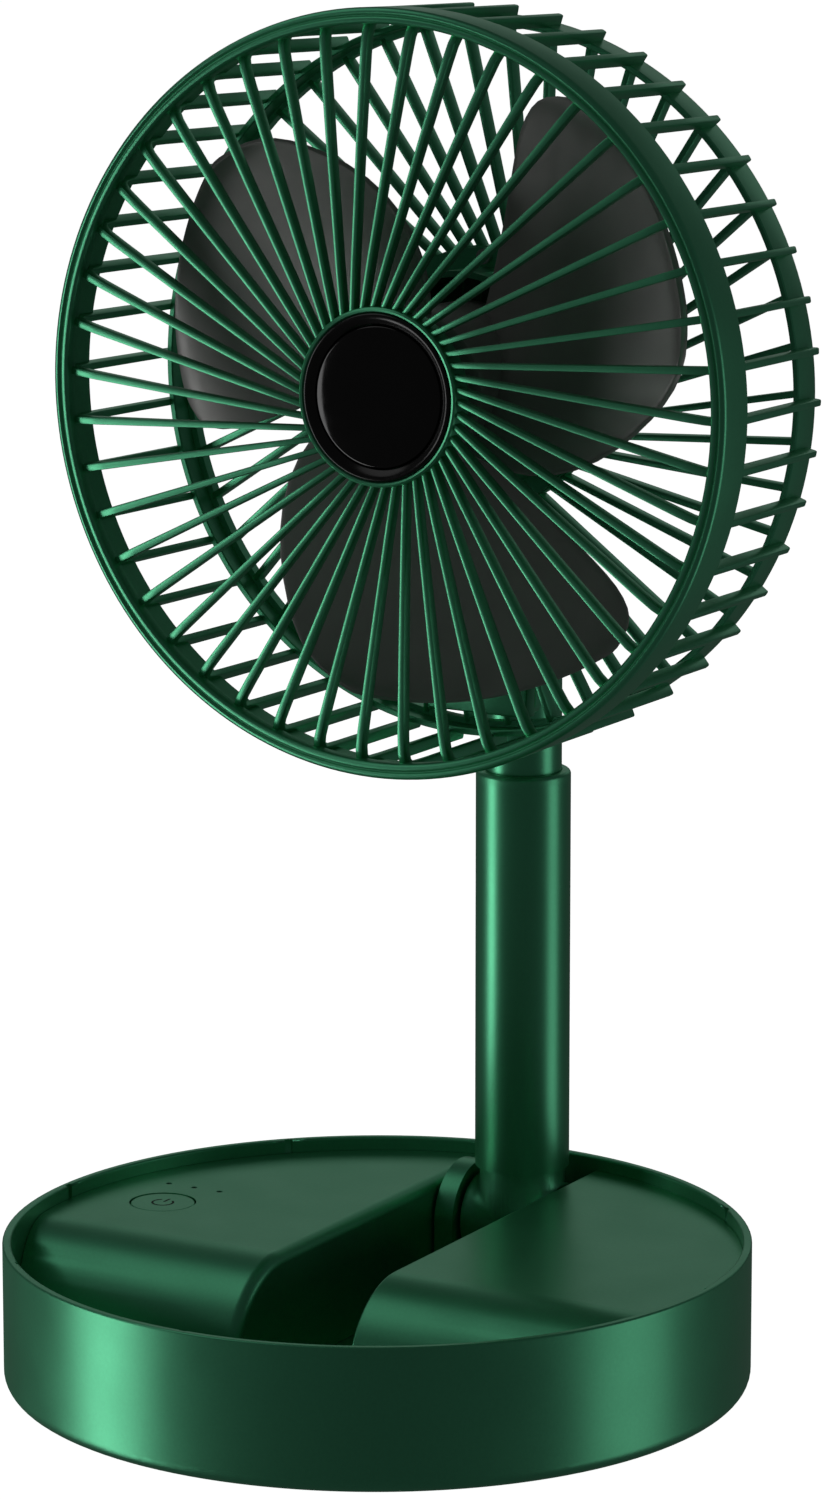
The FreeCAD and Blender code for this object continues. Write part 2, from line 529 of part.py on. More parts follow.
def rear_grille():
    rear = -CAGE_DEPTH
    front = rear + REAR_RING_DEPTH
    inner = REAR_RING_RADIUS - REAR_RING_WIDTH
    ring = turned([(REAR_RING_RADIUS, rear + 0.8), (REAR_RING_RADIUS, front),
                   (REAR_RING_RADIUS - 1.6, front), (REAR_RING_RADIUS - 1.6, rear + 3.5),
                   (inner, rear + 3.5), (inner, rear), (REAR_RING_RADIUS - 0.8, rear)])
    hub_out = MOTOR_RADIUS + GAP + REAR_HUB_WIDTH
    hub = pipe(hub_out, MOTOR_RADIUS + GAP, rear, rear + REAR_RIB_DEPTH)
    start = along(hub_out - 1.0, REAR_RIB_TANGENT_RADIUS)
    end = along(inner + 1.0, REAR_RIB_TANGENT_RADIUS)
    outline = [(start, rear), (start, rear + REAR_RIB_DEPTH), (end, rear + REAR_RIB_DEPTH - 0.6),
               (end, rear)]
    ribs = [rib_plate(outline, REAR_RIB_THICKNESS, -REAR_RIB_TANGENT_RADIUS, i)
            for i in range(RIB_COUNT)]
    pad = block(-PAD_HALF_WIDTH, PAD_HALF_WIDTH, -PAD_LOW, -PAD_HIGH, rear, rear + 5.0)
    body = ring.multiFuse([hub, pad] + ribs)
    for p in motor_screw_places():
        body = body.cut(cyl(SCREW_RADIUS - 0.25, rear - 1, rear + 10, p))
    for p in bracket_screw_places():
        body = body.cut(cyl(SCREW_RADIUS, rear - 1, rear + 4, p))
    return body


def motor_screw_places():
    """Three screws hold the motor housing to the rear grille."""
    return [polar(MOTOR_RADIUS + GAP + REAR_HUB_WIDTH / 2, a) for a in (90, 210, 330)]


def bracket_screw_places():
    """Four screws hold the hinge bracket to the grille's pad."""
    middle = -(PAD_LOW + PAD_HIGH) / 2
    rise = (PAD_LOW - PAD_HIGH) / 2 - 5
    return [V(x, middle + y, 0) for x in (-9.5, 9.5) for y in (-rise, rise)]


def head_bracket():
    rear = -CAGE_DEPTH
    plate = block(-PAD_HALF_WIDTH, PAD_HALF_WIDTH, -PAD_LOW, -PAD_HIGH,
                  rear - BRACKET_THICKNESS, rear)
    plate = fillet_where(plate, 3.0, lambda e: e.BoundBox.ZLength > 2)
    hinge = V(0, -HINGE_DROP, HINGE_U)
    eye = cyl(FORK_EYE_RADIUS - 0.8, -EYE_HALF, EYE_HALF, hinge, X)
    arm = block(-EYE_HALF, EYE_HALF, -HINGE_DROP - FORK_EYE_RADIUS + 2,
                -HINGE_DROP + FORK_EYE_RADIUS - 2, HINGE_U, rear - 1)
    body = plate.fuse(eye).fuse(arm)
    body = body.cut(cyl(HINGE_PIN_RADIUS + RUN, -20, 20, hinge, X))
    for p in bracket_screw_places():
        body = body.cut(cyl(SCREW_RADIUS + GAP, rear - 10, rear + 1, p))
        body = body.cut(cyl(2 * SCREW_RADIUS + GAP, rear - 10, rear - BRACKET_THICKNESS + 1.2, p))
    return body.removeSplitter()


def screw(head_u, length, place, radius):
    """A pan head screw driven forwards from head_u."""
    head = cyl(2 * radius, head_u, head_u + 1.1, place)
    return head.fuse(cyl(radius - 0.03, head_u + 1.0, head_u + length, place))


def head_parts():
    add_head("front_grille", front_grille())
    add_head("cage_ribs", cage_ribs())
    add_head("rear_grille", rear_grille())
    inside = HUB_RADIUS - HUB_WALL - GAP
    back = HUB_FACE - HUB_DEPTH + 2
    bezel = turned([(inside - BEZEL_WIDTH, back), (inside, back), (inside, HUB_FACE - 0.4),
                    (inside - 0.7, HUB_FACE + 0.2), (inside - BEZEL_WIDTH + 0.5, HUB_FACE - 0.4),
                    (inside - BEZEL_WIDTH, HUB_FACE - 1.0)])
    add_head("hub_bezel", bezel)
    disc = cyl(inside - BEZEL_WIDTH - GAP, back, HUB_FACE - 0.7)
    disc = fillet_where(disc, 0.8, lambda e: e.BoundBox.ZMin > HUB_FACE - 0.8)
    add_head("hub_disc", disc)
    add_head("head_bracket", head_bracket())
    rear = -CAGE_DEPTH
    heads = [screw(rear - BRACKET_THICKNESS + 0.1, 6.5, p, SCREW_RADIUS)
             for p in bracket_screw_places()]
    add_head("bracket_screws", Part.makeCompound(heads))


# ---------------------------------------------------------------- motor and rotor
def motor_parts():
    floor = MOTOR_REAR + MOTOR_WALL
    shell = cyl(MOTOR_RADIUS, MOTOR_REAR, MOTOR_FRONT)
    shell = fillet_where(shell, 1.2, lambda e: e.BoundBox.ZMax < MOTOR_REAR + 0.1)
    shell = shell.cut(cyl(MOTOR_RADIUS - MOTOR_WALL, floor, MOTOR_FRONT + 1))
    seat = MOTOR_REAR + REAR_RIB_DEPTH
    flange = pipe(MOTOR_RADIUS + GAP + REAR_HUB_WIDTH - 0.3, MOTOR_RADIUS - 0.5, seat, seat + 1.5)
    tube = cyl(BEARING_TUBE_RADIUS, floor - 0.5, BEARING_TUBE_FRONT)
    body = shell.fuse(flange).fuse(tube)
    for low in (floor + 0.5, BEARING_TUBE_FRONT - BEARING_LENGTH):
        body = body.cut(cyl(BEARING_RADIUS + 0.01, low, low + BEARING_LENGTH + 0.01))
    body = body.cut(cyl(SHAFT_RADIUS + 1, floor + 0.5, BEARING_TUBE_FRONT + 1))
    for p in motor_screw_places():
        body = body.cut(cyl(SCREW_RADIUS - 0.1, seat - 1, seat + 3, p))
    add_head("motor_housing", body)
    screws = []
    for p in motor_screw_places():
        head = cyl(1.9, seat + 1.5, seat + 2.6, p)
        screws.append(head.fuse(cyl(SCREW_RADIUS - 0.28, seat - 3, seat + 2, p)))
    add_head("motor_screws", Part.makeCompound(screws))
    bearings = [pipe(BEARING_RADIUS, SHAFT_RADIUS + 0.02, low, low + BEARING_LENGTH)
                for low in (floor + 0.5, BEARING_TUBE_FRONT - BEARING_LENGTH)]
    add_head("motor_bearings", Part.makeCompound(bearings))
    core_low = floor + 5.0
    core_high = core_low + 7.0
    core = pipe(BEARING_TUBE_RADIUS + 2.2, BEARING_TUBE_RADIUS + 0.02, core_low, core_high)
    coils = []
    for i in range(STATOR_TEETH):
        angle = i * 360 / STATOR_TEETH
        tooth = block(BEARING_TUBE_RADIUS + 2, STATOR_RADIUS - 1, -1.0, 1.0, core_low, core_high)
        shoe = block(STATOR_RADIUS - 1.6, STATOR_RADIUS, -3.4, 3.4, core_low, core_high)
        shoe = shoe.common(cyl(STATOR_RADIUS, core_low, core_high))
        winding = block(BEARING_TUBE_RADIUS + 3, STATOR_RADIUS - 1.8, -1.9, 1.9,
                        core_low - 0.9, core_high + 0.9)
        winding = winding.cut(block(0, STATOR_RADIUS, -1.05, 1.05, core_low - 0.05,
                                    core_high + 0.05))
        for piece in (tooth, shoe, winding):
            piece.rotate(V(0, 0, 0), Z, angle)
        core = core.fuse(tooth).fuse(shoe)
        coils.append(winding)
    add_head("stator_core", core.removeSplitter())
    add_head("stator_coils", Part.makeCompound(coils))
    board = pipe(MOTOR_RADIUS - MOTOR_WALL - GAP, BEARING_TUBE_RADIUS + GAP, floor, floor + 1.2)
    for a in (20, 140, 260):
        chip = block(14, 19, -2, 2, floor + 1.1, floor + 2.2)
        chip.rotate(V(0, 0, 0), Z, a)
        board = board.fuse(chip)
    add_head("motor_board", board)


def blade(index):
    """One broad blade: a twisted sheet, its outer end cut round."""
    sections = []
    root = ROTOR_HUB_RADIUS - 1.0
    for share, half, rise in BLADE_SECTIONS:
        radius = root + share * (BLADE_RADIUS + 6 - root)
        ends = ((-half, rise - BLADE_THICKNESS / 2), (half, -rise - BLADE_THICKNESS / 2),
                (half, -rise + BLADE_THICKNESS / 2), (-half, rise + BLADE_THICKNESS / 2))
        points = [V(radius, y, BLADE_MIDDLE + z) for y, z in ends]
        sections.append(Part.makePolygon(points + points[:1]))
    sheet = Part.makeLoft(sections, True, True)
    body = sheet.common(cyl(BLADE_RADIUS, BLADE_MIDDLE - 30, BLADE_MIDDLE + 30))
    body.rotate(V(0, 0, 0), Z, BLADE_START + index * 360 / BLADE_COUNT)
    return body


def rotor_parts():
    can_low = CAN_REAR
    can = cyl(CAN_RADIUS, can_low, can_low + CAN_LENGTH)
    can = can.cut(cyl(CAN_RADIUS - CAN_WALL, can_low - 1, can_low + CAN_LENGTH - CAN_WALL))
    can = can.cut(cyl(SHAFT_RADIUS + 0.02, can_low, can_low + CAN_LENGTH + 1))
    add_head("magnet_can", can)
    shaft_top = BLADE_MIDDLE + ROTOR_HUB_HEIGHT / 2 + 3
    add_head("motor_shaft", cyl(SHAFT_RADIUS, MOTOR_REAR + MOTOR_WALL + 0.7, shaft_top))
    hub_top = BLADE_MIDDLE + ROTOR_HUB_HEIGHT / 2
    hub = cyl(ROTOR_HUB_RADIUS, can_low + 1, hub_top)
    hub = fillet_where(hub, 2.0, lambda e: e.BoundBox.ZMin > hub_top - 0.1)
    hub = hub.cut(cyl(CAN_RADIUS + 0.05, can_low - 1, can_low + CAN_LENGTH))
    hub = hub.cut(pipe(CAN_RADIUS, 5, can_low + CAN_LENGTH - 0.1, hub_top - 2.0))
    hub = hub.cut(cyl(SHAFT_RADIUS + 0.03, can_low, hub_top + 1))
    fan = hub.multiFuse([blade(i) for i in range(BLADE_COUNT)])
    add_head("fan_blades", fan.cut(cyl(CAN_RADIUS + 0.05, can_low - 30, can_low + CAN_LENGTH)))
    add_head("blade_nut", pipe(3.6, SHAFT_RADIUS + 0.02, hub_top, hub_top + 2.4))


def main():
    os.makedirs("parts", exist_ok=True)
    base_parts()
    electric_parts()
    pole_parts()
    head_parts()
    motor_parts()
    rotor_parts()
    for name, shape in PARTS.items():
        shape.exportStep("parts/" + name + ".step")
        print(name, round(shape.Volume), len(shape.Solids), shape.isValid())


main()
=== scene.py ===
"""Looks of a folding desk fan with a telescopic pole and a flat caged head."""
import json
import math

import bpy
from bpy.props import FloatProperty, FloatVectorProperty, IntProperty, PointerProperty
from mathutils import Matrix, Vector


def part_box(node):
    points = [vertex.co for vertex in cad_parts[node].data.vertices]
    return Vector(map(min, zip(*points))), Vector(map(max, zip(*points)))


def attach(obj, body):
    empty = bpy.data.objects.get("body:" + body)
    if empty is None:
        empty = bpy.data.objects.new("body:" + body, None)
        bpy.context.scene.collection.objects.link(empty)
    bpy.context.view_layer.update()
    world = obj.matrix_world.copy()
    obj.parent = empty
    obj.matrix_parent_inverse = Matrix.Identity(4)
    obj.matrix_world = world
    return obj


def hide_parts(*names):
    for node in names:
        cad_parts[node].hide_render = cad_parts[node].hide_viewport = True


bl_info = {
    "name": "Folding desk fan",
    "version": (1, 0, 0),
    "blender": (4, 5, 0),
    "location": "3D View > Sidebar > Desk fan",
    "description": "Builds the shells, cages, blades, finishes and studio of a folding desk fan",
    "category": "Object",
}

MM = 0.001
SAME_POINT = 1e-6                    # points closer than this, in metres, are merged
FLAT = math.radians(0.1)             # faces within this angle count as one flat face
CORNER = math.radians(50)            # sharper edges than this are rounded
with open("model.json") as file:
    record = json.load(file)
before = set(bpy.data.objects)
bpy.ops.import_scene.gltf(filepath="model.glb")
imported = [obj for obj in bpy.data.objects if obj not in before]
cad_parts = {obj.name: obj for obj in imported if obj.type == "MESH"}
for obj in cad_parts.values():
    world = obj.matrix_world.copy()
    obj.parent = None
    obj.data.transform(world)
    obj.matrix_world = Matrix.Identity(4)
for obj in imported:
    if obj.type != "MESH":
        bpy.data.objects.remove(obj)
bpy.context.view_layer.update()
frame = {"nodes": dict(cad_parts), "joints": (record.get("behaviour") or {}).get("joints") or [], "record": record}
joints = {j["name"]: j for j in frame["joints"]}
FAN_CENTRE = Vector(joints["blade_spin"]["pos_m"])
FAN_AXIS = Vector(joints["blade_spin"]["axis"]).normalized()
HEAD_TURN = math.atan2(-FAN_AXIS.y, FAN_AXIS.z)      # turn about X that points +Z along the axis


# ------------------------------------------------------------------ sizes and colours
def linear(hex_colour):
    """Linear RGBA from an sRGB hex colour."""
    out = []
    for i in (0, 2, 4):
        c = int(hex_colour[i:i + 2], 16) / 255
        out.append(c / 12.92 if c <= 0.04045 else ((c + 0.055) / 1.055) ** 2.4)
    return (*out, 1.0)


def length(name, words, default):
    """A length property in metres with a default given in millimetres."""
    return FloatProperty(name=name, description=words, default=default * MM, min=0.0,
                         unit="LENGTH", precision=5)


def colour(name, words, hex_colour):
    """A colour property."""
    return FloatVectorProperty(name=name, description=words, default=linear(hex_colour),
                               subtype="COLOR", size=4, min=0.0, max=1.0)


class FanSizes(bpy.types.PropertyGroup):
    """Sizes of the pieces that are shaped here."""
    cage_radius: length("Cage radius", "Outer radius of the front ring", 92.8)
    cage_depth: length("Cage depth", "From the ring's widest plane to the rear plane", 54.0)
    cage_taper: FloatProperty(name="Cage taper", default=0.032, min=0.0, max=0.2,
                              description="Radius lost towards the rear, per unit of depth")
    ring_width: length("Ring width", "Radial width of the front ring's face", 4.0)
    band_depth: length("Band depth", "Depth of the solid band behind the ring", 11.0)
    band_wall: length("Band wall", "Wall of that band", 2.2)
    rib_count: IntProperty(name="Ribs", default=46, min=8, max=90,
                           description="Ribs round each grille")
    rib_phase: FloatProperty(name="First rib", default=math.radians(3.2), subtype="ANGLE",
                             description="Turn of the first rib about the fan axis")
    rib_offset: length("Rib offset", "The front ribs pass the fan axis at this distance", 8.0)
    rib_thickness: length("Rib thickness", "Thickness of a front rib at its outer end", 1.9)
    rib_depth: length("Rib depth", "Depth of a front rib", 3.2)
    hub_radius: length("Hub radius", "Outer radius of the front hub", 21.8)
    hub_face: length("Hub face", "Front of the hub ahead of the ring's widest plane", 3.5)
    rear_ring: length("Rear ring radius", "Outer radius of the rear grille", 88.8)
    rear_offset: length("Rear rib offset", "The rear ribs pass the axis at this distance", 14.0)
    motor_radius: length("Motor radius", "Radius of the motor housing", 27.0)
    blade_radius: length("Blade radius", "Radius at the blade tips", 77.0)
    blade_turn: FloatProperty(name="Blade turn", default=0.0, subtype="ANGLE",
                              description="Turn of the first blade about the fan axis")
    blade_hub: length("Blade hub radius", "Radius of the blades' hub", 19.5)
    blade_hub_height: length("Blade hub height", "Height of the hub that holds the blades", 22.0)
    blade_rise: length("Blade rise", "Depth that a blade covers along the axis", 21.0)
    blade_thickness: length("Blade thickness", "Thickness of a blade", 1.8)


class FanColours(bpy.types.PropertyGroup):
    """Colours of the finishes."""
    green: colour("Green", "Pearl green of the mouldings", "5DBE8F")
    tube_green: colour("Tube green", "Pearl green of the painted tubes", "5DBE8F")
    blade_grey: colour("Blade grey", "Dark grey of the blades", "9A9897")
    gloss_black: colour("Gloss black", "Polished black of the hub", "050505")
    floor_white: colour("Floor", "Pale floor", "FAFAFA")


# ------------------------------------------------------------------ materials
def add_node(tree, kind, values=(), links=(), **settings):
    """Adds one node with its settings, its input values and its links."""
    made = tree.nodes.new(kind)
    for key, value in settings.items():
        setattr(made, key, value)
    for key, value in values:
        made.inputs[key].default_value = value
    for key, socket in links:
        tree.links.new(socket, made.inputs[key])
    return made


def new_material(name, **constants):
    """A material's tree, its shader with constant inputs, and Object coordinates."""
    made = bpy.data.materials.new(name)
    made.use_nodes = True
    tree = made.node_tree
    tree.nodes.clear()
    shader = add_node(tree, "ShaderNodeBsdfPrincipled",
                      [(k.replace("_", " "), v) for k, v in constants.items()])
    add_node(tree, "ShaderNodeOutputMaterial", links=[("Surface", shader.outputs["BSDF"])])
    place = add_node(tree, "ShaderNodeTexCoord").outputs["Object"]
    return tree, shader, place


def per_mm(size):
    """Noise scale for features of this size in millimetres."""
    return 1 / (size * MM)


def shade(colour_value, share):
    """A colour made darker or lighter by a share."""
    return (*[min(1.0, c * share) for c in colour_value[:3]], 1.0)


def mottled(tree, shader, pattern, dark, light):
    """Base colour that wanders between two colours with a pattern."""
    mix = add_node(tree, "ShaderNodeMix", [(6, dark), (7, light)], [(0, pattern)],
                   data_type="RGBA")
    tree.links.new(mix.outputs[2], shader.inputs["Base Color"])


def ranged(tree, pattern, low, high, socket):
    """Sends a pattern to an input, stretched from low to high."""
    spread = add_node(tree, "ShaderNodeMapRange",
                      [("From Min", 0.3), ("From Max", 0.7), ("To Min", low), ("To Max", high)],
                      [("Value", pattern)])
    tree.links.new(spread.outputs[0], socket)


def bumped(tree, shader, pattern, depth_mm, strength):
    """Relief of a given depth in millimetres."""
    bump = add_node(tree, "ShaderNodeBump", [("Distance", depth_mm * MM), ("Strength", strength)],
                    [("Height", pattern)])
    tree.links.new(bump.outputs[0], shader.inputs["Normal"])


def noise(tree, place, size, detail=2.0):
    """Noise with features of a size in millimetres."""
    return add_node(tree, "ShaderNodeTexNoise", [("Scale", per_mm(size)), ("Detail", detail)],
                    [("Vector", place)]).outputs[0]


def pearl_abs(name, green):
    """Injection-moulded ABS with mica pigment: deep green with a satin, metal-like sheen."""
    tree, shader, place = new_material(name, Metallic=0.86, Roughness=0.36)
    # mica flakes are under 0.1 mm; drawn at 0.9 mm so that their cloudiness shows
    mottled(tree, shader, noise(tree, place, 0.9), shade(green, 0.93), shade(green, 1.06))
    ranged(tree, noise(tree, place, 22.0), 0.34, 0.39, shader.inputs["Roughness"])
    # the mould's fine spark-eroded grain, about 0.6 mm
    bumped(tree, shader, noise(tree, place, 0.6), 0.004, 0.35)


def pearl_paint(name, green):
    """Pearl lacquer sprayed on drawn aluminium tube: smoother, with a slight orange peel."""
    tree, shader, place = new_material(name, Metallic=0.88, Roughness=0.33)
    mottled(tree, shader, noise(tree, place, 0.9), shade(green, 0.95), shade(green, 1.04))
    ranged(tree, noise(tree, place, 30.0), 0.31, 0.35, shader.inputs["Roughness"])
    bumped(tree, shader, noise(tree, place, 1.6, 1.0), 0.004, 0.25)


def smoked_abs(name, grey):
    """Injection-moulded dark grey ABS of the blades: satin, with faint flow clouds."""
    tree, shader, place = new_material(name, Metallic=0.35, Roughness=0.42, IOR=1.54)
    mottled(tree, shader, noise(tree, place, 14.0), shade(grey, 0.88), shade(grey, 1.1))
    ranged(tree, noise(tree, place, 6.0), 0.39, 0.46, shader.inputs["Roughness"])
    bumped(tree, shader, noise(tree, place, 0.7), 0.004, 0.3)


def polished_black(name, black, low, high):
    """Polished black acrylic or ABS: sharp reflections and barely seen wiping marks."""
    tree, shader, place = new_material(name, Roughness=low, IOR=1.49)
    mottled(tree, shader, noise(tree, place, 9.0), shade(black, 0.8), shade(black, 1.2))
    ranged(tree, noise(tree, place, 5.0, 4.0), low, high, shader.inputs["Roughness"])


def black_nylon(name):
    """Moulded black nylon of washers, bush, shoe and holder: dull, slightly cloudy."""
    tree, shader, place = new_material(name, Roughness=0.55, IOR=1.53)
    mottled(tree, shader, noise(tree, place, 2.0), linear("0B0B0C"), linear("18181A"))
    bumped(tree, shader, noise(tree, place, 0.5), 0.006, 0.4)


def turned_steel(name):
    """Zinc-plated or ground steel: bright grey with fine tool marks."""
    tree, shader, place = new_material(name, Metallic=1.0, Roughness=0.3)
    mottled(tree, shader, noise(tree, place, 1.5), linear("A9ACAE"), linear("C6C8CA"))
    wave = add_node(tree, "ShaderNodeTexWave", [("Scale", per_mm(0.6)), ("Distortion", 1.5)],
                    [("Vector", place)], bands_direction="Z")
    ranged(tree, wave.outputs[1], 0.25, 0.38, shader.inputs["Roughness"])
    bumped(tree, shader, wave.outputs[1], 0.003, 0.2)


def moulded_rubber(name):
    """Moulded black rubber feet: matt with fine dust speckle."""
    tree, shader, place = new_material(name, Roughness=0.8, IOR=1.52)
    mottled(tree, shader, noise(tree, place, 0.8), linear("141414"), linear("232323"))
    bumped(tree, shader, noise(tree, place, 0.4), 0.02, 0.5)


def solder_mask(name):
    """Glass-fibre circuit board under green solder mask, with tracks 2.5 mm apart."""
    tree, shader, place = new_material(name, Roughness=0.3, IOR=1.55)
    tracks = add_node(tree, "ShaderNodeTexBrick",
                      [("Color1", linear("0E5A2C")), ("Color2", linear("0A4822")),
                       ("Mortar", linear("2C8A4C")), ("Scale", per_mm(10.0)),
                       ("Mortar Size", 0.03)], [("Vector", place)])
    tree.links.new(tracks.outputs[0], shader.inputs["Base Color"])


def shrink_wrap(name):
    """Unprinted PVC shrink sleeve on the cells: glossy blue with slight creases."""
    tree, shader, place = new_material(name, Roughness=0.25, IOR=1.53)
    mottled(tree, shader, noise(tree, place, 8.0), linear("1B3F86"), linear("2450A6"))
    bumped(tree, shader, noise(tree, place, 3.0), 0.03, 0.4)


def enamelled_copper(name):
    """Enamelled copper windings: warm metal with turns 0.4 mm apart."""
    tree, shader, place = new_material(name, Metallic=1.0, Roughness=0.28)
    turns = add_node(tree, "ShaderNodeTexWave", [("Scale", per_mm(1.2)), ("Distortion", 0.6)],
                     [("Vector", place)], bands_direction="Y").outputs[1]
    mottled(tree, shader, turns, linear("8C4A22"), linear("C97B45"))
    bumped(tree, shader, turns, 0.1, 0.6)


def tinted_light_pipe(name):
    """Tinted clear rods behind the light holes, unlit: dark glossy green dots."""
    tree, shader, place = new_material(name, Roughness=0.2, IOR=1.49)
    mottled(tree, shader, noise(tree, place, 1.0), linear("04140C"), linear("082216"))


def dark_engraving(name, green):
    """Laser-engraved mark in the pearl ABS: the same green burnt darker and dull."""
    tree, shader, place = new_material(name, Metallic=0.2, Roughness=0.7)
    mottled(tree, shader, noise(tree, place, 0.5), shade(green, 0.02), shade(green, 0.05))


# ------------------------------------------------------------------ modelling tools
def deselect():
    """Leaves nothing selected."""
    if bpy.context.object and bpy.context.object.mode != "OBJECT":
        bpy.ops.object.mode_set(mode="OBJECT")
    bpy.ops.object.select_all(action="DESELECT")


def only(obj):
    """Makes one object the selected and active one."""
    deselect()
    obj.select_set(True)
    bpy.context.view_layer.objects.active = obj


def named(name):
    """Names the active object and its mesh."""
    obj = bpy.context.object
    obj.name = obj.data.name = name
    return obj


def modifier(obj, kind, **settings):
    """Adds a modifier and applies it."""
    only(obj)
    made = obj.modifiers.new(kind, kind)
    for key, value in settings.items():
        setattr(made, key, value)
    bpy.ops.object.modifier_apply(modifier=made.name)


def smooth(obj, degrees=32):
    """Smooth shading that keeps corners over an angle."""
    only(obj)
    bpy.ops.object.shade_smooth_by_angle(angle=math.radians(degrees))


def clean(obj, outwards=True):
    """Merges doubled points and, for a piece built here, turns every face outwards."""
    only(obj)
    bpy.ops.object.mode_set(mode="EDIT")
    bpy.ops.mesh.select_all(action="SELECT")
    bpy.ops.mesh.remove_doubles(threshold=SAME_POINT)
    if outwards:
        bpy.ops.mesh.normals_make_consistent(inside=False)
    bpy.ops.object.mode_set(mode="OBJECT")


def line(points, closed):
    """In edit mode: a chain of edges through points, started from one merged point."""
    deselect()
    bpy.ops.mesh.primitive_plane_add(size=MM, location=(0, 0, 0))
    bpy.ops.object.mode_set(mode="EDIT")
    bpy.ops.mesh.select_all(action="SELECT")
    bpy.ops.mesh.merge(type="CENTER")
    bpy.ops.transform.translate(value=points[0])
    for a, b in zip(points, points[1:]):
        step = Vector(b) - Vector(a)
        bpy.ops.mesh.extrude_region_move(TRANSFORM_OT_translate={"value": step})
    bpy.ops.mesh.select_all(action="SELECT")
    if closed:
        mesh = bpy.context.object.data
        bpy.ops.object.mode_set(mode="OBJECT")
        for v in mesh.vertices:
            v.select = v.index in (0, len(points) - 1)
        for e in mesh.edges:
            e.select = False
        bpy.ops.object.mode_set(mode="EDIT")
        bpy.ops.mesh.edge_face_add()
        bpy.ops.mesh.select_all(action="SELECT")


def turned(name, profile, steps=192, closed=True):
    """A turned piece: (radius, height) points in millimetres spun about Z."""
    line([(r * MM, 0, z * MM) for r, z in profile], closed)
    bpy.ops.mesh.spin(steps=steps, angle=math.tau, center=(0, 0, 0), axis=(0, 0, 1))
    obj = named(name)
    clean(obj)
    return obj


def turn_selected(value, axis, centre):
    """Turns what is selected in edit mode, right-handed, about an axis through a point."""
    bpy.ops.transform.rotate(value=-value, orient_axis=axis, center_override=centre)


def bar(name, path, widths, bevel):
    """A bar with a rectangular section swept along a path in the XZ plane.

    path holds (x, z) points and widths holds (thickness, depth) at each, in millimetres.
    """
    heading = []
    for i in range(len(path)):
        a, b = Vector(path[max(i - 1, 0)]), Vector(path[min(i + 1, len(path) - 1)])
        heading.append(math.atan2(b.y - a.y, b.x - a.x))
    deselect()
    bpy.ops.mesh.primitive_circle_add(vertices=4, radius=math.sqrt(0.5), fill_type="NGON",
                                      location=(0, 0, 0), rotation=(0, 0, math.pi / 4))
    bpy.ops.object.transform_apply(location=True, rotation=True, scale=True)
    obj = named(name)
    obj.rotation_euler = (0, math.pi / 2, 0)
    bpy.ops.object.transform_apply(location=False, rotation=True, scale=False)
    bpy.ops.object.mode_set(mode="EDIT")
    bpy.ops.mesh.select_all(action="SELECT")
    thick, deep = widths[0]
    bpy.ops.transform.resize(value=(1, thick * MM, deep * MM), center_override=(0, 0, 0))
    here = Vector((path[0][0] * MM, 0, path[0][1] * MM))
    bpy.ops.transform.translate(value=here)
    turn_selected(-heading[0], "Y", here)
    for i in range(1, len(path)):
        there = Vector((path[i][0] * MM, 0, path[i][1] * MM))
        bpy.ops.mesh.extrude_region_move(TRANSFORM_OT_translate={"value": there - here})
        turn_selected(heading[i - 1] - heading[i], "Y", there)
        grow = widths[i][0] / widths[i - 1][0]
        bpy.ops.transform.resize(value=(1, grow, 1), center_override=there)
        here = there
    bpy.ops.object.mode_set(mode="OBJECT")
    clean(obj)
    modifier(obj, "BEVEL", width=bevel * MM, segments=2, limit_method="ANGLE",
             angle_limit=CORNER)
    return obj


def rounded_box(name, low, high, bevel):
    """A box between two corners in millimetres with rounded edges."""
    deselect()
    bpy.ops.mesh.primitive_cube_add(size=1, location=(0, 0, 0))
    obj = named(name)
    bpy.ops.object.mode_set(mode="EDIT")
    size = [(h - l) * MM for l, h in zip(low, high)]
    bpy.ops.transform.resize(value=size, center_override=(0, 0, 0))
    bpy.ops.transform.translate(value=[(h + l) / 2 * MM for l, h in zip(low, high)])
    bpy.ops.object.mode_set(mode="OBJECT")
    modifier(obj, "BEVEL", width=bevel * MM, segments=3)
    return obj


def round_the_axis(obj, count, start=0.0):
    """Copies a piece round Z and joins the copies into it."""
    copies = []
    for i in range(count):
        only(obj)
        bpy.ops.object.duplicate()
        twin = bpy.context.object
        twin.rotation_euler = (0, 0, start + i * math.tau / count)
        bpy.ops.object.transform_apply(location=True, rotation=True, scale=True)
        copies.append(twin)
    bpy.data.objects.remove(obj)
    return joined(copies[0].name, copies)


def joined(name, objs):
    """Joins pieces into one."""
    only(objs[0])
    for obj in objs:
        obj.select_set(True)
    if len(objs) > 1:
        bpy.ops.object.join()
    return named(name)


def on_the_head(obj):
    """Moves a piece drawn about Z onto the fan axis: +Z becomes forward, +Y stays up."""
    only(obj)
    obj.matrix_world = Matrix.Translation(FAN_CENTRE) @ Matrix.Rotation(HEAD_TURN, 4, "X")
    bpy.ops.object.transform_apply(location=True, rotation=True, scale=True)


def moved(obj, place):
    """Moves a piece by applying a new place to it."""
    only(obj)
    obj.location = place
    bpy.ops.object.transform_apply(location=True, rotation=True, scale=True)


def finish_piece(obj, material, body, slot, *nodes):
    """Gives a piece its material and body, and hides the nodes that it stands for."""
    if not obj.data.polygons:
        raise RuntimeError(obj.name + " has no faces")
    obj.data.materials.clear()
    obj.data.materials.append(bpy.data.materials[material])
    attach(obj, body)
    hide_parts(*nodes)


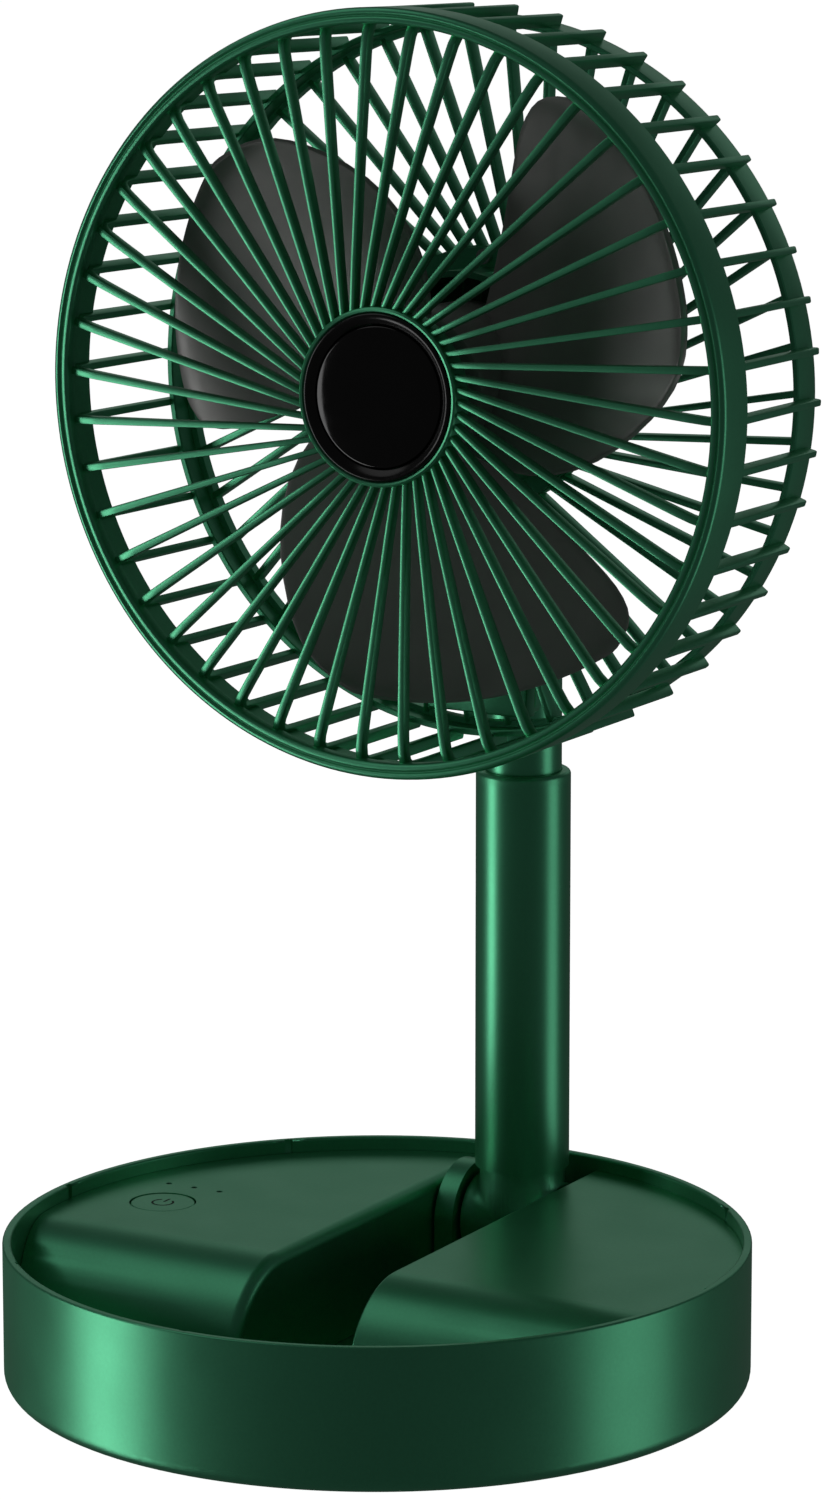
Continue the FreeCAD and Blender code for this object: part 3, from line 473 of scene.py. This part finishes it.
def smooth_copy(node, name):
    """A merged, smooth-shaded copy of a CAD node's mesh."""
    source = frame["nodes"][node]
    copy = bpy.data.objects.new(name, source.data.copy())
    bpy.context.scene.collection.objects.link(copy)
    clean(copy, outwards=False)
    # flat faces become whole again, so that long thin triangles don't streak the shading
    bpy.ops.object.mode_set(mode="EDIT")
    bpy.ops.mesh.select_all(action="SELECT")
    bpy.ops.mesh.dissolve_limited(angle_limit=FLAT)
    bpy.ops.object.mode_set(mode="OBJECT")
    smooth(copy)
    modifier(copy, "WEIGHTED_NORMAL", keep_sharp=True, weight=100)
    return copy


def mm(value):
    """A stored length in millimetres."""
    return value / MM


# ------------------------------------------------------------------ operators
class FAN_OT_finishes(bpy.types.Operator):
    """Makes the finishes and gives every CAD piece the one of its slot"""
    bl_idname = "deskfan.finishes"
    bl_label = "Finishes"

    def execute(self, context):
        c = context.scene.deskfan_colours
        pearl_abs("pearl_green_abs_moulded", c.green)
        pearl_paint("pearl_green_lacquer_on_aluminium", c.tube_green)
        smoked_abs("smoked_grey_abs_moulded", c.blade_grey)
        polished_black("black_acrylic_polished", c.gloss_black, 0.05, 0.09)
        polished_black("black_abs_semi_gloss", c.gloss_black, 0.16, 0.24)
        black_nylon("black_nylon_moulded")
        turned_steel("steel_zinc_plated_turned")
        moulded_rubber("rubber_black_moulded")
        solder_mask("circuit_board_solder_mask")
        shrink_wrap("pvc_shrink_sleeve_blue")
        enamelled_copper("copper_enamelled_wound")
        tinted_light_pipe("acrylic_light_pipe_tinted")
        dark_engraving("pearl_abs_laser_engraved", c.green)
        of_slot = {
            "base_shell": "pearl_green_abs_moulded", "pole_shell": "pearl_green_abs_moulded",
            "pole_paint": "pearl_green_lacquer_on_aluminium", "cage": "pearl_green_abs_moulded",
            "rubber": "rubber_black_moulded", "steel": "steel_zinc_plated_turned",
            "cell_wrap": "pvc_shrink_sleeve_blue", "black_plastic": "black_nylon_moulded",
            "circuit_board": "circuit_board_solder_mask",
            "light_pipe": "acrylic_light_pipe_tinted", "black_gloss": "black_abs_semi_gloss",
            "copper_wire": "copper_enamelled_wound", "blade_plastic": "smoked_grey_abs_moulded",
        }
        for row in frame["record"]["subparts"]:
            obj = frame["nodes"][row["node"]]
            obj.data.materials.clear()
            obj.data.materials.append(bpy.data.materials[of_slot[row["material_slot"]]])
        return {"FINISHED"}


class FAN_OT_front_cage(bpy.types.Operator):
    """Builds the front ring, its hub and the ribs that bend back along the side"""
    bl_idname = "deskfan.front_cage"
    bl_label = "Front cage"

    # millimetres
    HUB_DEPTH = 7.0
    POCKET = 5.0                     # depth of the hub's pocket, which holds the black disc
    TIP_GAP = 2.4                    # the side ribs end before the cage's rear plane
    RIB_INSET = 1.05                 # keeps the side ribs inside the ring's outer face
    RIB_ROUND = 0.45
    # width along a front rib, as a share of its width at the outer end
    SHARES = (0.72, 0.76, 0.88, 1, 1, 1, 1, 1, 1, 0.96, 0.92)

    def execute(self, context):
        s = context.scene.deskfan_sizes
        radius, width = mm(s.cage_radius), mm(s.ring_width)
        inner, band = radius - width, -mm(s.band_depth)
        back = radius + s.cage_taper * band
        wall = mm(s.band_wall)
        ring = turned("front_cage_ring", [
            (inner, -1.8), (inner, 1.0), (inner + 0.25, 1.6), (inner + 0.7, 1.95),
            (inner + 1.3, 1.95), (inner + 1.7, 1.75), (inner + 1.95, 1.35), (inner + 2.2, 1.35),
            (inner + 2.45, 1.75), (inner + 2.8, 1.95), (radius - 0.9, 1.9), (radius - 0.4, 1.65),
            (radius - 0.1, 1.2), (radius, 0.5), (back, band + 0.4), (back - 0.4, band),
            (back - wall + 0.4, band), (back - wall, band + 0.4), (radius - wall, -2.6)])
        hub_radius, face = mm(s.hub_radius), mm(s.hub_face)
        hub = turned("front_cage_hub", [
            (0, face - self.HUB_DEPTH), (hub_radius - 0.5, face - self.HUB_DEPTH),
            (hub_radius, face - self.HUB_DEPTH + 0.5),
            (hub_radius, face - 0.9), (hub_radius - 0.2, face - 0.35), (hub_radius - 0.65, face),
            (hub_radius - 1.1, face - 0.1), (hub_radius - 1.4, face - 0.5),
            (hub_radius - 1.4, face - self.POCKET), (0, face - self.POCKET)], closed=False)
        offset = mm(s.rib_offset)
        start = math.sqrt((hub_radius - 0.6) ** 2 - offset ** 2)
        edge = math.sqrt((radius - 1.0) ** 2 - offset ** 2)
        tip = -mm(s.cage_depth) + self.TIP_GAP
        tip_edge = math.sqrt((radius + s.cage_taper * tip) ** 2 - offset ** 2) - 1.35
        side = edge - self.RIB_INSET
        thick, deep = mm(s.rib_thickness), mm(s.rib_depth)
        path = [(start, 1.1), (start + 12, 1.0), (edge - 30, 0.1), (edge - 10, -0.8),
                (edge - 5.5, -1.25), (edge - 2.9, -2.3), (edge - 1.3, -4.2), (side, -7.0),
                (side, band - 1), ((side + tip_edge) / 2, (band + tip) / 2), (tip_edge, tip)]
        widths = [(thick * share, deep) for share in self.SHARES]
        rib = bar("front_cage_rib", path, widths, self.RIB_ROUND)
        moved(rib, (0, offset * MM, 0))
        ribs = round_the_axis(rib, s.rib_count, s.rib_phase)
        cage = joined("front_cage_moulding", [ring, hub, ribs])
        smooth(cage)
        on_the_head(cage)
        finish_piece(cage, "pearl_green_abs_moulded", "head", "cage", "front_grille",
                     "cage_ribs")
        return {"FINISHED"}


class FAN_OT_rear_cage(bpy.types.Operator):
    """Builds the rear ring, its ribs, the motor's seat and the hinge pad"""
    bl_idname = "deskfan.rear_cage"
    bl_label = "Rear cage"

    # millimetres
    SEAT_GAP = 0.15                  # round the motor housing
    RIB_WIDTHS = (1.5, 1.6, 1.7)     # from the motor outwards
    RIB_DEPTH = 4.0
    RIB_ROUND = 0.4
    PAD_HALF = 14.0                  # half the width of the hinge's pad
    PAD_LOW, PAD_HIGH = -84.0, -44.0
    PAD_THICKNESS = 5.0

    def execute(self, context):
        s = context.scene.deskfan_sizes
        out, rear = mm(s.rear_ring), -mm(s.cage_depth)
        ring = turned("rear_cage_ring", [
            (out - 3, rear + 0.4), (out - 2.6, rear), (out - 0.8, rear), (out - 0.2, rear + 0.3),
            (out, rear + 0.9), (out, rear + 9.2), (out - 0.3, rear + 9.5),
            (out - 1.3, rear + 9.5), (out - 1.6, rear + 9.2), (out - 1.6, rear + 3.6),
            (out - 3, rear + 3.4)])
        seat = mm(s.motor_radius) + self.SEAT_GAP
        hub = turned("rear_cage_hub", [
            (seat, rear + 0.3), (seat + 0.3, rear), (seat + 4.4, rear), (seat + 5, rear + 0.5),
            (seat + 5, rear + 4), (seat, rear + 4)])
        offset = mm(s.rear_offset)
        start = math.sqrt((seat + 4) ** 2 - offset ** 2)
        end = math.sqrt((out - 2) ** 2 - offset ** 2)
        rib = bar("rear_cage_rib",
                  [(start, rear + 2.0), ((start + end) / 2, rear + 1.9), (end, rear + 1.75)],
                  [(width, self.RIB_DEPTH) for width in self.RIB_WIDTHS], self.RIB_ROUND)
        moved(rib, (0, -offset * MM, 0))
        ribs = round_the_axis(rib, s.rib_count, s.rib_phase)
        pad = rounded_box("rear_cage_pad", (-self.PAD_HALF, self.PAD_LOW, rear),
                          (self.PAD_HALF, self.PAD_HIGH, rear + self.PAD_THICKNESS), 0.5)
        cage = joined("rear_cage_moulding", [ring, hub, ribs, pad])
        smooth(cage)
        on_the_head(cage)
        finish_piece(cage, "pearl_green_abs_moulded", "head", "cage", "rear_grille")
        return {"FINISHED"}


class FAN_OT_hub(bpy.types.Operator):
    """Builds the black bezel and the glossy disc in the front hub"""
    bl_idname = "deskfan.hub"
    bl_label = "Hub"

    # millimetres
    RIM = 1.5                        # wall of the green hub, with the gap inside it
    BEZEL = 2.95                     # width of the black ring, with the gap inside it

    def execute(self, context):
        s = context.scene.deskfan_sizes
        face = mm(s.hub_face)
        low = face - FAN_OT_front_cage.POCKET
        inside = mm(s.hub_radius) - self.RIM
        bezel = turned("hub_bezel_ring", [
            (inside - 2.8, low), (inside, low), (inside, face - 0.5),
            (inside - 0.15, face + 0.0), (inside - 0.5, face + 0.2), (inside - 1.0, face + 0.15),
            (inside - 1.6, face - 0.2), (inside - 2.2, face - 0.6), (inside - 2.8, face - 1.1)])
        smooth(bezel, 50)
        on_the_head(bezel)
        finish_piece(bezel, "black_abs_semi_gloss", "head", "black_gloss", "hub_bezel")
        edge = inside - self.BEZEL
        disc = turned("hub_glossy_disc", [
            (0, low), (edge, low), (edge, face - 1.5), (edge - 0.1, face - 1.15),
            (edge - 0.35, face - 0.85), (edge - 0.8, face - 0.7), (edge * 0.5, face - 0.7),
            (0, face - 0.7)], closed=False)
        smooth(disc, 40)
        on_the_head(disc)
        finish_piece(disc, "black_acrylic_polished", "head", "black_gloss", "hub_disc")
        return {"FINISHED"}


class FAN_OT_blades(bpy.types.Operator):
    """Builds three broad twisted blades on their hub"""
    bl_idname = "deskfan.blades"
    bl_label = "Blades"

    # radius share, then where the blade's two edges stand at that radius, in degrees
    EDGES = ((0.0, -44, 65), (0.14, -38, 68), (0.32, -30, 71), (0.5, -20, 73), (0.66, -10, 74.5),
             (0.8, -1.5, 75), (0.9, 4.5, 74), (0.96, 10, 72), (1.0, 18, 67))
    ACROSS = 24
    COUNT = 3
    CAN_RADIUS = 16.05               # inside of the hub, in millimetres, round the magnet can
    HUB_WALL = 2.0                   # front wall of the hub, in millimetres
    EDGE_ROUND = 0.5

    def execute(self, context):
        s = context.scene.deskfan_sizes
        low, front = [mm(v) for v in self.along_axis("fan_blades")]
        hub = mm(s.blade_hub)
        blades = round_the_axis(self.blade(s, hub - 1, front), self.COUNT, s.blade_turn)
        boss = turned("blade_hub", [
            (0, front - self.HUB_WALL), (self.CAN_RADIUS, front - self.HUB_WALL),
            (self.CAN_RADIUS, low + 1), (hub - 0.3, low + 1), (hub, low + 1.3),
            (hub, front - 2), (hub - 0.6, front - 0.6), (hub - 2, front), (0, front)],
            closed=False)
        fan = joined("fan_blade_moulding", [blades, boss])
        smooth(fan)
        on_the_head(fan)
        finish_piece(fan, "smoked_grey_abs_moulded", "rotor", "blade_plastic", "fan_blades")
        return {"FINISHED"}

    def blade(self, s, root, front):
        """One blade: a grid laid along its edges, because its lean and twist change with radius."""
        deselect()
        bpy.ops.mesh.primitive_grid_add(x_subdivisions=self.ACROSS,
                                        y_subdivisions=len(self.EDGES) - 1, size=1)
        blade = named("blade")
        tip, rise = mm(s.blade_radius), mm(s.blade_rise)
        middle = front - mm(s.blade_hub_height) / 2
        for v in blade.data.vertices:
            across = v.co.x + 0.5
            share, start, end = self.EDGES[round((v.co.y + 0.5) * (len(self.EDGES) - 1))]
            angle = math.radians(start + across * (end - start))
            radius = (root + share * (tip - root)) * MM
            v.co = (radius * math.cos(angle), radius * math.sin(angle),
                    (middle + rise * (0.5 - across)) * MM)
        clean(blade)
        modifier(blade, "SUBSURF", levels=1, render_levels=1)
        modifier(blade, "SOLIDIFY", thickness=s.blade_thickness, offset=0.0)
        modifier(blade, "BEVEL", width=self.EDGE_ROUND * MM, segments=2,
                 limit_method="ANGLE", angle_limit=CORNER)
        return blade

    @staticmethod
    def along_axis(node):
        """Lowest and highest place of a CAD node along the fan axis."""
        places = [(v.co - FAN_CENTRE).dot(FAN_AXIS) for v in frame["nodes"][node].data.vertices]
        return min(places), max(places)


class FAN_OT_shells(bpy.types.Operator):
    """Smooths the base, the decks and the pole's mouldings"""
    bl_idname = "deskfan.shells"
    bl_label = "Base and pole shells"

    def execute(self, context):
        for node, body, slot in (
                ("base_tray", "base", "base_shell"), ("left_deck", "base", "base_shell"),
                ("right_deck", "base", "base_shell"), ("left_cheek", "base", "pole_shell"),
                ("right_cheek", "base", "pole_shell"),
                ("pole_knuckle", "outer_pole", "pole_shell"),
                ("tube_collar", "outer_pole", "pole_shell"),
                ("pole_fork", "inner_pole", "pole_shell"),
                ("head_bracket", "head", "cage"), ("motor_housing", "head", "cage"),
                ("power_button", "button", "base_shell")):
            copy = smooth_copy(node, node + "_shell")
            finish_piece(copy, "pearl_green_abs_moulded", body, slot, node)
        for node, body in (("outer_tube", "outer_pole"), ("inner_tube", "inner_pole")):
            copy = smooth_copy(node, node + "_painted")
            finish_piece(copy, "pearl_green_lacquer_on_aluminium", body, "pole_paint", node)
        return {"FINISHED"}


class FAN_OT_power_mark(bpy.types.Operator):
    """Engraves a plain ring-and-bar power sign on the button"""
    bl_idname = "deskfan.power_mark"
    bl_label = "Power sign"

    RING_INNER, RING_OUTER = 2.35, 2.9           # millimetres
    SUNK, PROUD = 0.03, 0.02                     # below and above the button's face
    SWEEP = 290                                  # degrees that the ring covers

    def execute(self, context):
        low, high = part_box("power_button")
        centre = (low + high) / 2
        top = mm(high.z)
        foot, face = top - self.SUNK, top + self.PROUD
        line([(radius * MM, 0, z * MM) for radius, z in (
            (self.RING_INNER, foot), (self.RING_OUTER, foot), (self.RING_OUTER, face),
            (self.RING_INNER, face))], True)
        bpy.ops.mesh.spin(steps=48, angle=math.radians(self.SWEEP), center=(0, 0, 0),
                          axis=(0, 0, 1))
        arc = named("power_arc")
        bpy.ops.object.mode_set(mode="OBJECT")
        only(arc)
        # the spin runs clockwise, so the ring's gap is centred on the stem
        arc.rotation_euler = (0, 0, math.radians(90 - (360 - self.SWEEP) / 2))
        bpy.ops.object.transform_apply(location=True, rotation=True, scale=True)
        stem = rounded_box("power_stem", (-0.28, 0.6, foot), (0.28, 3.4, face), 0.01)
        mark = joined("power_sign", [arc, stem])
        clean(mark)
        moved(mark, (centre.x, centre.y, 0))
        finish_piece(mark, "pearl_abs_laser_engraved", "button", "base_shell")
        return {"FINISHED"}


class FAN_OT_stage(bpy.types.Operator):
    """Sets the pale floor, the soft lights and the camera"""
    bl_idname = "deskfan.stage"
    bl_label = "Stage"

    AZIMUTH, ELEVATION = math.radians(29.913), math.radians(12.271)
    DISTANCE = 1.599845
    AIM = Vector((0, 0, 0.170))
    SHIFT_RIGHT, SHIFT_UP = 0.009265, -0.010721
    LENS = 159.07                    # millimetres, on a 36 mm sensor
    FLOOR_RADIUS = 6
    # name, degrees from the camera, distance, height, width and height of the panel, watts
    LAMPS = (("key_strip", -86, 1.0, -0.1, (0.34, 1.1), 2.7),
             ("fill_strip", 80, 1.1, -0.1, (0.5, 1.1), 1.15),
             ("high_panel", -98, 0.75, 1.15, (0.9, 0.7), 0.8),
             ("back_panel", 172, 1.2, 0.55, (1.6, 0.5), 0.6))

    def execute(self, context):
        scene = context.scene
        azimuth, elevation = self.AZIMUTH, self.ELEVATION
        right = Vector((math.cos(azimuth), math.sin(azimuth), 0))
        back = Vector((math.sin(azimuth) * math.cos(elevation),
                       -math.cos(azimuth) * math.cos(elevation), math.sin(elevation)))
        up = back.cross(right)
        aim = self.AIM + right * self.SHIFT_RIGHT + up * self.SHIFT_UP
        deselect()
        bpy.ops.object.camera_add(location=aim + back * self.DISTANCE)
        camera = bpy.context.object
        camera.rotation_mode = "QUATERNION"
        camera.rotation_quaternion = (-back).to_track_quat("-Z", "Y")
        camera.data.lens = self.LENS
        camera.data.sensor_width = 36
        camera.data.clip_start, camera.data.clip_end = 0.05, 50
        scene.camera = camera
        bpy.ops.mesh.primitive_circle_add(vertices=128, radius=self.FLOOR_RADIUS,
                                          fill_type="NGON", location=(0, 0, 0))
        floor = named("studio_floor")
        self.floor_finish(scene.deskfan_colours.floor_white)
        floor.data.materials.append(bpy.data.materials["studio_paper_matt"])
        # the satin green stays deep because it doesn't mirror the pale floor
        floor.visible_glossy = floor.visible_diffuse = floor.visible_shadow = False
        for name, turn, *rest in self.LAMPS:
            self.softbox(name, azimuth + math.radians(turn), *rest)
        world = bpy.data.worlds.new("studio_air")
        scene.world = world
        world.use_nodes = True
        tree = world.node_tree
        tree.nodes.clear()
        seen = add_node(tree, "ShaderNodeLightPath").outputs["Is Camera Ray"]
        strength = add_node(tree, "ShaderNodeMapRange", [("To Min", 0.05), ("To Max", 1.0)],
                            [("Value", seen)])
        air = add_node(tree, "ShaderNodeBackground", [("Color", (1, 1, 1, 1))],
                       [("Strength", strength.outputs[0])])
        add_node(tree, "ShaderNodeOutputWorld", links=[("Surface", air.outputs[0])])
        scene.view_settings.view_transform = "Standard"
        return {"FINISHED"}

    @staticmethod
    def softbox(name, azimuth, distance, height, size, power):
        """A rectangular soft light that looks at the fan's middle."""
        place = Vector((math.sin(azimuth) * distance, -math.cos(azimuth) * distance, height))
        deselect()
        bpy.ops.object.light_add(type="AREA", location=place)
        lamp = bpy.context.object
        lamp.name = name
        lamp.data.shape = "RECTANGLE"
        lamp.data.size, lamp.data.size_y = size
        lamp.data.energy = power
        lamp.visible_camera = False
        lamp.rotation_mode = "QUATERNION"
        lamp.rotation_quaternion = (place - Vector((0, 0, 0.17))).to_track_quat("Z", "Y")

    @staticmethod
    def floor_finish(white):
        """Pale matt paper, lit from below as on a light table."""
        tree, shader, place = new_material("studio_paper_matt", Roughness=0.9)
        mottled(tree, shader, noise(tree, place, 400.0), shade(white, 0.49), shade(white, 0.5))
        glow = add_node(tree, "ShaderNodeEmission", [("Color", white), ("Strength", 1.05)])
        lit = add_node(tree, "ShaderNodeAddShader",
                       links=[(0, shader.outputs[0]), (1, glow.outputs[0])])
        output = [n for n in tree.nodes if n.type == "OUTPUT_MATERIAL"][0]
        tree.links.new(lit.outputs[0], output.inputs["Surface"])


STEPS = (FAN_OT_finishes, FAN_OT_shells, FAN_OT_front_cage, FAN_OT_rear_cage, FAN_OT_hub,
         FAN_OT_blades, FAN_OT_power_mark, FAN_OT_stage)


class FAN_PT_panel(bpy.types.Panel):
    """Sizes, colours and the building steps"""
    bl_idname = "FAN_PT_panel"
    bl_label = "Desk fan"
    bl_space_type = "VIEW_3D"
    bl_region_type = "UI"
    bl_category = "Desk fan"

    def draw(self, context):
        for group in (context.scene.deskfan_sizes, context.scene.deskfan_colours):
            for name in group.__annotations__:
                self.layout.prop(group, name)
        for step in STEPS:
            self.layout.operator(step.bl_idname)


CLASSES = (FanSizes, FanColours, *STEPS, FAN_PT_panel)


def register():
    """Registers the classes and hangs the settings on the scene."""
    for cls in CLASSES:
        bpy.utils.register_class(cls)
    bpy.types.Scene.deskfan_sizes = PointerProperty(type=FanSizes)
    bpy.types.Scene.deskfan_colours = PointerProperty(type=FanColours)


def unregister():
    """Removes them again."""
    del bpy.types.Scene.deskfan_sizes
    del bpy.types.Scene.deskfan_colours
    for cls in reversed(CLASSES):
        bpy.utils.unregister_class(cls)


def main():
    """Builds the looks in order."""
    register()
    for step in STEPS:
        group, name = step.bl_idname.split(".")
        getattr(getattr(bpy.ops, group), name)()
    deselect()


if __name__ == "__main__":
    main()
